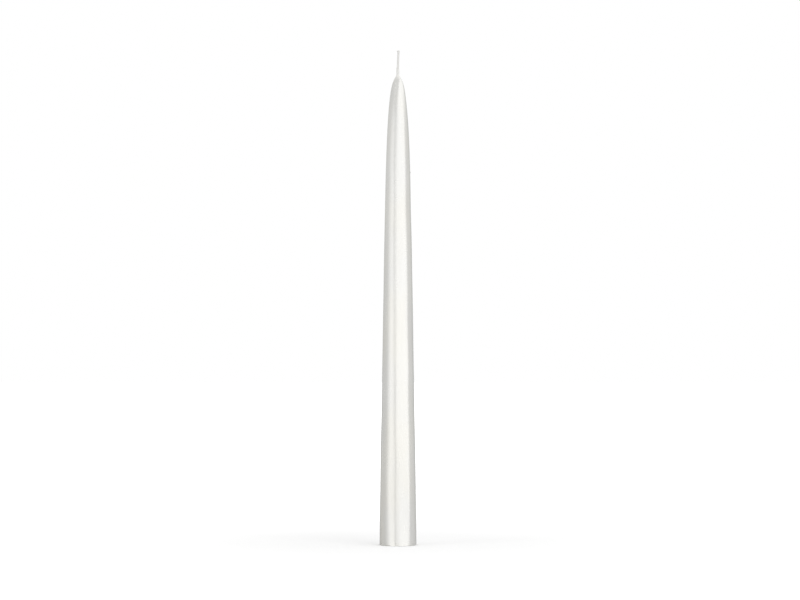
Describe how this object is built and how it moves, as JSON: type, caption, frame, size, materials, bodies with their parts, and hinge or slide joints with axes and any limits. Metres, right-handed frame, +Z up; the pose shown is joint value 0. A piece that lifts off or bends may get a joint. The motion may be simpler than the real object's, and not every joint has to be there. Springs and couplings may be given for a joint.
{
  "type": "taper candle",
  "caption": "Tall slim pearl-white dipped candle that tapers from a flat foot to a pointed tip with a bare cotton wick, for a candle holder's socket.",
  "frame": {"origin": "centre of the foot's underside, on the candle's axis", "axes": "+Z up along the candle from foot to wick, +X the way the bare wick leans, +Y away from the viewer of the picture"},
  "size_m": [0.0224, 0.0224, 0.3001],
  "materials": {
    "pearl_wax": "pearl, satin gloss",
    "wick_cotton": "waxed braided cotton"
  },
  "bodies": {
    "root": {"wax_taper": "pearl_wax", "wick": "wick_cotton"}
  },
  "joints": []
}
